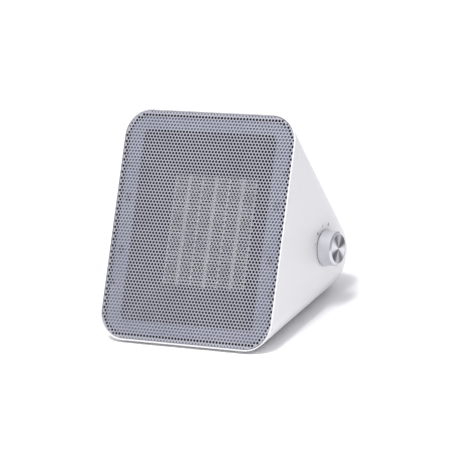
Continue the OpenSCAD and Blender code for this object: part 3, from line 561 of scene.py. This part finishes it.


# Grey-blue ABS, matt from its texture: it reads as the pale band round the dark mouth. Its edge is
# painted near black, as painted shade for the gap between the frame and the housing.
blue_grey = moulded("moulded_blue_grey_abs", "#858CA0", "#8E93A3", 0.55, 0.5 * MM, 0.04 * MM)
frame_tree = blue_grey.node_tree
frame_skin = frame_tree.nodes["Principled BSDF"].inputs["Base Color"]
frame_place = frame_tree.nodes["Texture Coordinate"].outputs["Object"]
# Painted shade: outside this rounded box, the frame's colour is swapped for the near-black shade colour.
FRAME_UNSHADED_W, FRAME_UNSHADED_H, FRAME_UNSHADED_R = 76 * MM, 90.6 * MM, 17 * MM
painted_shade_rim = outside_of(frame_tree, frame_place, FRAME_UNSHADED_W, FRAME_UNSHADED_H, FRAME_UNSHADED_R, 1.0)
with_painted_shade = add(frame_tree, "Mix", {0: painted_shade_rim, 6: frame_skin.links[0].from_socket, 7: colour(PAINTED_SHADE_COLOUR)},
              data_type="RGBA")
frame_tree.links.new(with_painted_shade.outputs[2], frame_skin)
dress(blue_grey, "front_frame")
# Glass-filled nylon, near black: it swallows the light between the frame and the fins.
dark_nylon = moulded("moulded_dark_nylon", "#23242C", "#2B2C35", 0.5, 0.6 * MM, 0.05 * MM)
dress(dark_nylon, "outlet_duct", "fan_housing")


# ---- Ceramic heater block ----
# Three flat rods with ceramic stones inside, each with a corrugated aluminium fin soldered to both faces,
# stacked between thin plates and held at both ends in brown heat-resistant holders. Brass tabs lead out at
# the top.
def worked_metal(name, base, drift_to, roughness, across, along, axis, depth):
    """Drawn or rolled metal: streaks as wide as across and as long as along, which follow one axis of
    the object, in its tone and gloss; a drift over 8 mm mixes in the second colour."""
    made, tree, shader, place = finish_of(name, base, roughness, 1.0)
    scale = [1 / across] * 3
    scale[axis] = 1 / along
    stretched = add(tree, "Mapping", {"Vector": place, "Scale": scale})
    streak = add(tree, "TexNoise", {"Vector": stretched.outputs[0], "Scale": 1.0, "Detail": 2.0})
    drift = add(tree, "TexNoise", {"Vector": place, "Scale": 1 / (8 * MM), "Detail": 2.0})
    patch = add(tree, "MapRange", {0: drift.outputs[0], 1: 0.4, 2: 0.65})
    tone = add(tree, "Mix", {0: patch.outputs[0], 6: colour(base), 7: colour(drift_to)}, data_type="RGBA")
    gloss = add(tree, "MapRange", {0: streak.outputs[0], 3: roughness - 0.1, 4: roughness + 0.1})
    bump = add(tree, "Bump", {"Height": streak.outputs[0], "Strength": 0.3, "Distance": depth})
    tree.links.new(tone.outputs[2], shader.inputs["Base Color"])
    tree.links.new(gloss.outputs[0], shader.inputs["Roughness"])
    tree.links.new(bump.outputs[0], shader.inputs["Normal"])
    return made


fins = [f"heater_fin_{i}" for i in range(1, 7)]
rods = [f"ptc_rod_{i}" for i in range(1, 4)]
# Thin rolled aluminium, bright with warm flux stains in patches.
dress(worked_metal("rolled_fin_aluminium", "#F2F2F2", "#E6DECF", 0.42, 0.4 * MM, 6 * MM, 2, 0.02 * MM),
      *fins, "heater_plates")
# Extruded aluminium tube: a little duller, with die lines along it.
dress(worked_metal("extruded_aluminium", "#CFCFD0", "#D8D4CB", 0.4, 0.5 * MM, 20 * MM, 2, 0.02 * MM), *rods)
# Phenolic, brown and semi-matt with a mottle.
dress(moulded("moulded_brown_phenolic", "#5A3A26", "#4A2E1E", 0.5, 0.8 * MM, 0.05 * MM), "heater_holder_top",
      "heater_holder_bottom")
# Stamped brass: yellow, fairly bright, with fine rolling lines.
stamped_brass = worked_metal("stamped_brass", "#D8B25A", "#C99F4C", 0.3, 0.3 * MM, 4 * MM, 2, 0.01 * MM)
dress(stamped_brass, "heater_terminals", "switch_terminals", "motor_bushes")
# Bright zinc plate on steel: pale, slightly blue, with cloudy gloss.
zinc = worked_metal("zinc_plated_steel", "#C9CCD1", "#B9BDC6", 0.32, 0.6 * MM, 1.2 * MM, 0, 0.01 * MM)
dress(zinc, "thermostat", "fan_housing_screws", "motor_can", "motor_shaft", "motor_screws",
      "base_screws", "switch_nut", "switch_shaft", "tip_spring")
# Phosphated steel: dark blue-grey and dull, so that it stays out of sight behind the sheet.
dress(worked_metal("phosphated_steel", "#5A5E69", "#4F535E", 0.5, 0.6 * MM, 1.2 * MM, 0, 0.01 * MM),
      "frame_screws", "grille_clips")
# Tinned and lacquered case of the fuse: dull gold.
dress(worked_metal("lacquered_fuse_case", "#C8A96A", "#BD9A58", 0.4, 0.4 * MM, 3 * MM, 0, 0.01 * MM),
      "thermal_fuse")


# ---- Fan and motor ----
# A seven-bladed axial fan behind the block, driven by a small DC motor in a plated can. The motor hangs on a
# four-armed spider in the fan housing, and sits deep inside, where only the slots at the back let light in.
dress(moulded("moulded_smoke_polypropylene", "#4C4D52", "#56575C", 0.42, 0.5 * MM, 0.03 * MM), "impeller")
ivory = moulded("moulded_ivory_nylon", "#DDD6C2", "#D6CEB8", 0.45, 0.4 * MM, 0.03 * MM)
dress(ivory, "motor_end_cap", "switch_body", "terminal_block")
# Sintered ferrite: charcoal grey, dull and slightly gritty.
dress(moulded("sintered_ferrite", "#3A3838", "#444142", 0.7, 0.3 * MM, 0.06 * MM), "motor_magnets")
# Enamelled copper over a steel core: red-brown with wire-wide streaks.
dress(worked_metal("enamelled_copper", "#A8623A", "#8C4E2E", 0.35, 0.4 * MM, 8 * MM, 0, 0.05 * MM),
      "motor_rotor")


# ---- Knob and dial ----
# A silver knob on the right side wall: a hollow moulding with a satin flank, a polished chamfer and a spun
# aluminium disc let into its end. A dark dot on the chamfer points at grey marks printed on the housing.
KNOB_GAP = 0.5 * MM
KNOB_R, KNOB_TIP_R, KNOB_LEN = 15.45 * MM, 14.2 * MM, 12 * MM
DISC_R, DISC_T = 12.0 * MM, 0.8 * MM
KNOB_BORE_R = 8 * MM
CHAMFER_LEN = 1.5 * MM
# The section runs from the hollow underside, out round the foot, up the waisted flank and over the chamfer.
knob_reach = KNOB_GAP + KNOB_LEN
section = np.array([
    (KNOB_BORE_R, knob_reach - 2.2 * MM), (KNOB_BORE_R, KNOB_GAP + 0.3 * MM),
    (KNOB_BORE_R + 0.3 * MM, KNOB_GAP),
    (KNOB_R - 0.5 * MM, KNOB_GAP), (KNOB_R - 0.15 * MM, KNOB_GAP + 0.12 * MM), (KNOB_R, KNOB_GAP + 0.5 * MM),
    (KNOB_R - 0.08 * MM, KNOB_GAP + 1.0 * MM), (KNOB_R - 0.45 * MM, KNOB_GAP + 2.0 * MM),
    (KNOB_TIP_R + 0.35 * MM, KNOB_GAP + 3.6 * MM), (KNOB_TIP_R + 0.05 * MM, KNOB_GAP + 5.6 * MM),
    (KNOB_TIP_R, knob_reach - 4 * MM), (KNOB_TIP_R + 0.12 * MM, knob_reach - 2 * MM),
    (KNOB_TIP_R + 0.1 * MM, knob_reach - 1.5 * MM), (KNOB_TIP_R - 0.1 * MM, knob_reach - 1.25 * MM),
    (KNOB_TIP_R - 0.5 * MM, knob_reach - 0.9 * MM), (DISC_R + 0.75 * MM, knob_reach - 0.12 * MM),
    (DISC_R + 0.5 * MM, knob_reach - 0.02 * MM), (DISC_R + 0.28 * MM, knob_reach),
    (DISC_R + 0.1 * MM, knob_reach - 0.08 * MM), (DISC_R + 0.05 * MM, knob_reach - 0.3 * MM),
    (DISC_R + 0.05 * MM, knob_reach - DISC_T - 0.02 * MM)])


def turned_solid(profile, steps=96):
    """A solid of revolution about the local z axis: circles through the profile's (radius, height)
    points."""
    return loft([circle_loop(r, steps) for r, _ in profile], [z for _, z in profile])


def knob_silver():
    """Silver-painted ABS: an even satin grey with a fine flake, brighter and glossier on the polished
    chamfer, which is picked out by its height along the knob's axis."""
    made, tree, shader, place = finish_of("satin_silver_knob", "#BEBEC3", 0.58, 0.25)
    height = add(tree, "SeparateXYZ", {0: place}).outputs[0]
    chamfer_at = shell_hi.x + knob_reach - CHAMFER_LEN
    polished = add(tree, "MapRange", {0: height, 1: chamfer_at, 2: chamfer_at + 0.15 * MM})
    tone = add(tree, "Mix", {0: polished.outputs[0], 6: colour("#BEBEC3"), 7: colour("#B9BAC0")},
               data_type="RGBA")
    gloss = add(tree, "MapRange", {0: polished.outputs[0], 3: 0.58, 4: 0.22})
    metal = add(tree, "MapRange", {0: polished.outputs[0], 3: 0.25, 4: 0.9})
    flake = add(tree, "TexNoise", {"Vector": place, "Scale": 1 / (0.15 * MM), "Detail": 1.0})
    bump = add(tree, "Bump", {"Height": flake.outputs[0], "Strength": 0.08, "Distance": 0.02 * MM})
    tree.links.new(tone.outputs[2], shader.inputs["Base Color"])
    tree.links.new(gloss.outputs[0], shader.inputs["Roughness"])
    tree.links.new(metal.outputs[0], shader.inputs["Metallic"])
    tree.links.new(bump.outputs[0], shader.inputs["Normal"])
    return made


def spun_disc():
    """Aluminium faced on a lathe: grooves of 0.25 mm run in circles as a bump that follows the radius. The
    bright and dark fans that such grooves throw are painted into the base colour by the angle round the
    knob's axis, as painted reflection."""
    made, tree, shader, place = finish_of("spun_aluminium_disc", "#D0D0D4", 0.3, 0.8)
    centre = add(tree, "Mapping", {"Vector": place, "Location": (-placed([(0, 0, 0)], knob_at)[0]).tolist()})
    parts = add(tree, "SeparateXYZ", {0: centre.outputs[0]})
    # Painted reflection: bright and dark fans by the angle round the knob's axis, painted into the base
    # colour.
    angle = add(tree, "Math", {0: parts.outputs[2], 1: parts.outputs[1]}, operation="ARCTAN2")
    fans = add(tree, "Math", {0: angle.outputs[0], 1: 2.0, 2: math.radians(81)}, operation="MULTIPLY_ADD")
    wave = add(tree, "Math", {0: fans.outputs[0]}, operation="COSINE")
    fans_3 = add(tree, "Math", {0: angle.outputs[0], 1: 4.0, 2: math.radians(112)}, operation="MULTIPLY_ADD")
    wave_3 = add(tree, "Math", {0: fans_3.outputs[0]}, operation="COSINE")
    mixed = add(tree, "Math", {0: wave_3.outputs[0], 1: 1.25, 2: wave.outputs[0]}, operation="MULTIPLY_ADD")
    painted_reflection = add(tree, "MapRange", {0: mixed.outputs[0], 1: -1.6, 2: 2.15}, interpolation_type="SMOOTHSTEP")
    tone = add(tree, "Mix", {0: painted_reflection.outputs[0], 6: colour("#35343A"), 7: colour("#BFBFC4")},
               data_type="RGBA")
    radius = add(tree, "VectorMath", {0: centre.outputs[0]}, operation="LENGTH")
    turns = add(tree, "Math", {0: radius.outputs["Value"], 1: 2 * math.pi / (0.25 * MM)},
                operation="MULTIPLY")
    groove = add(tree, "Math", {0: turns.outputs[0]}, operation="SINE")
    bump = add(tree, "Bump", {"Height": groove.outputs[0], "Strength": 0.25, "Distance": 0.02 * MM})
    tree.links.new(tone.outputs[2], shader.inputs["Base Color"])
    tree.links.new(bump.outputs[0], shader.inputs["Normal"])
    shader.inputs["Anisotropic"].default_value = 0.6
    return made


def body_piece(name, solid, at, finish, body, node, sharp_angle=32):
    """A closed solid placed in the row frame that stands for a CAD node and rides on its body."""
    piece = mesh_piece(name, placed(solid[0], at), solid[1], finish)
    settle(face_out(piece), sharp_angle)
    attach(piece, body)
    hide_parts(node)


body_piece("knob_shell", turned_solid(section[::-1]), knob_at, knob_silver(), "control", "knob",
           20)
disc_section = np.array([(DISC_R - 0.02 * MM, knob_reach - DISC_T), (DISC_R, knob_reach - 0.3 * MM),
                         (DISC_R - 0.1 * MM, knob_reach - 0.14 * MM),
                         (DISC_R - 0.5 * MM, knob_reach - 0.1 * MM),
                         (DISC_R * 0.6, knob_reach - 0.13 * MM), (DISC_R * 0.1, knob_reach - 0.16 * MM)])
body_piece("knob_disc", turned_solid(disc_section), knob_at, spun_disc(), "control", "knob_cap")
# Pad-printed ink: mid grey, matt, a little thin at its edges.
dress(moulded("printed_grey_ink", "#6E6E75", "#7C7C83", 0.6, 0.2 * MM, 0.01 * MM), "dial_marks",
      "knob_pointer")


# ---- Intake panel ----
# A slotted panel of the same white ABS, snapped into the sloping back with hooks: four columns of fifteen
# slots. Each slot has a softly rounded lip.
SLOT_COLUMNS, SLOT_ROWS, SLOT_PITCH, SLOT_L = 4, 15, 5.2 * MM, 3 * MM
PANEL_MARGIN, SLOT_WEB = 4 * MM, 3 * MM
cell = (INTAKE_W - 2 * INTAKE_EDGE - 2 * PANEL_MARGIN) / SLOT_COLUMNS
EDGE_R = 0.5 * MM


def panel_loops(offset):
    """The panel's outline, drawn in by the offset, and its slots, widened by it."""
    grow = 2 * offset
    slot = rounded_loop(cell - SLOT_WEB + grow, SLOT_L + grow, SLOT_L / 2 + offset - 0.01 * MM, 6)
    middle = np.array([(SLOT_COLUMNS - 1) / 2, (SLOT_ROWS - 1) / 2])
    grid = np.stack(np.meshgrid(np.arange(SLOT_COLUMNS), np.arange(SLOT_ROWS)), 2).reshape(-1, 2) - middle
    outline = rounded_loop(INTAKE_W - 2 * GAP - grow, INTAKE_L - 2 * GAP - grow, PANEL_R - GAP - offset)
    return [outline, *(slot + (grid * np.array([cell, SLOT_PITCH]))[:, None])]


def rounded_edge(top, bottom, radius, steps=4):
    """Heights and offsets of the layers of a plate whose front edges are quarter rounds."""
    a = np.radians(np.linspace(0, 90, steps + 1))
    front = [(top - radius * (1 - math.cos(t)), radius * (1 - math.sin(t))) for t in a]
    return front + [(bottom, 0.0)]


body_piece("intake_panel", pierced_plate(panel_loops, rounded_edge(0, -INTAKE_SKIN, EDGE_R)), back,
           abs_white, "heater", "intake_grille")


# ---- Base ----
# A cover of white ABS under the housing, held by four screws, with a hole for the tip-over plunger. Four
# soft rubber feet are pressed into seats beside it, and a rubber bush lines the cord inlet at the back.
SCREW_X, SCREW_Y = PLATE_W / 2 - 4 * MM, PLATE_L / 2 - 9 * MM
SCREW_HOLE_R = 1.6 * MM
TIP_X, TIP_Y = 24 * MM, 12 * MM
PIN_HOLE_R = 2.55 * MM


def cover_loops(offset):
    """The base cover's outline and its holes for four screws and the plunger."""
    screws = [circle_loop(SCREW_HOLE_R + offset, 24) + (x * SCREW_X, y * SCREW_Y) for x in (-1, 1)
              for y in (-1, 1)]
    plunger = circle_loop(PIN_HOLE_R + offset, 32) + (TIP_X, TIP_Y)
    return [rounded_loop(PLATE_W - 2 * (GAP + offset), PLATE_L - 2 * (GAP + offset), PLATE_R - GAP - offset),
            *screws, plunger]


cover_layers = [(-z, offset) for z, offset in rounded_edge(0, -PLATE_SKIN, EDGE_R)]
cover_points, cover_faces = pierced_plate(cover_loops, cover_layers)
body_piece("base_cover", (cover_points, cover_faces), base, abs_white, "heater", "base_plate")


def soft_foot(across):
    """A foot: a disc with a rounded lower edge and a shallow ring pressed into its sole."""
    r = across / 2
    outline = [(0.15 * r, 0.4), (0.45 * r, 0.4), (0.5 * r, 0), (r - 1.4 * MM, 0), (r - 0.8 * MM, 0.12),
               (r - 0.35 * MM, 0.45), (r - 0.05 * MM, 1.0), (r, 1.5), (r, (foot_h + FOOT_SEAT) / MM)]
    return turned_solid([(radius, z * MM) for radius, z in outline], 48)


# Soft grey rubber: matt, faintly brown, with a dusty bloom.
rubber = moulded("moulded_grey_rubber", "#8B807C", "#7A716E", 0.75, 0.5 * MM, 0.05 * MM)
feet = [soft_foot(across) for _, _, across in foot_spots]
feet = [(solid[0] + (mid_x + x, front_y + y, 0), solid[1]) for solid, (x, y, _) in zip(feet, foot_spots)]
body_piece("soft_feet", joined(feet), np.eye(4), rubber, "heater", "feet")

BUSH_FLANGE_R, BUSH_R, BUSH_BORE_R = 7.5 * MM, 5.6 * MM, 3.6 * MM
bush_section = [(BUSH_BORE_R, -0.1), (BUSH_BORE_R + 0.5 * MM, -0.55), (BUSH_BORE_R + 1.2 * MM, -0.6),
                (BUSH_FLANGE_R - 0.9 * MM, -0.6), (BUSH_FLANGE_R - 0.3 * MM, -0.4), (BUSH_FLANGE_R, 0.1),
                (BUSH_FLANGE_R, 1.0), (BUSH_R, 1.0), (BUSH_R, 3.6), (BUSH_R + 0.9 * MM, 3.6),
                (BUSH_R + 0.9 * MM, 5.2), (BUSH_R, 5.4), (BUSH_BORE_R, 5.4)]


def ring_solid(profile, steps=64):
    """A closed ring of revolution about the local z axis: circles through a closed profile, joined end
    to start."""
    rings = [np.column_stack([circle_loop(r, steps), np.full(steps, z)]) for r, z in profile]
    points = np.concatenate(rings)
    ids = np.arange(len(profile) * steps).reshape(len(profile), steps)
    below, step = np.roll(ids, -1, 0), np.roll(ids, -1, 1)
    return points, np.stack([ids, step, np.roll(step, -1, 0), below], 2).reshape(-1, 4).tolist()


body_piece("cord_bush_ring", ring_solid([(r, z * MM) for r, z in bush_section]), cord_at, rubber, "heater",
           "cord_bush")
dress(moulded("moulded_black_abs", "#17171A", "#1E1E22", 0.4, 0.4 * MM, 0.03 * MM), "tip_switch_body")
dress(moulded("moulded_pale_acetal", "#DADADA", "#D2D2D0", 0.35, 0.4 * MM, 0.02 * MM), "tip_plunger")
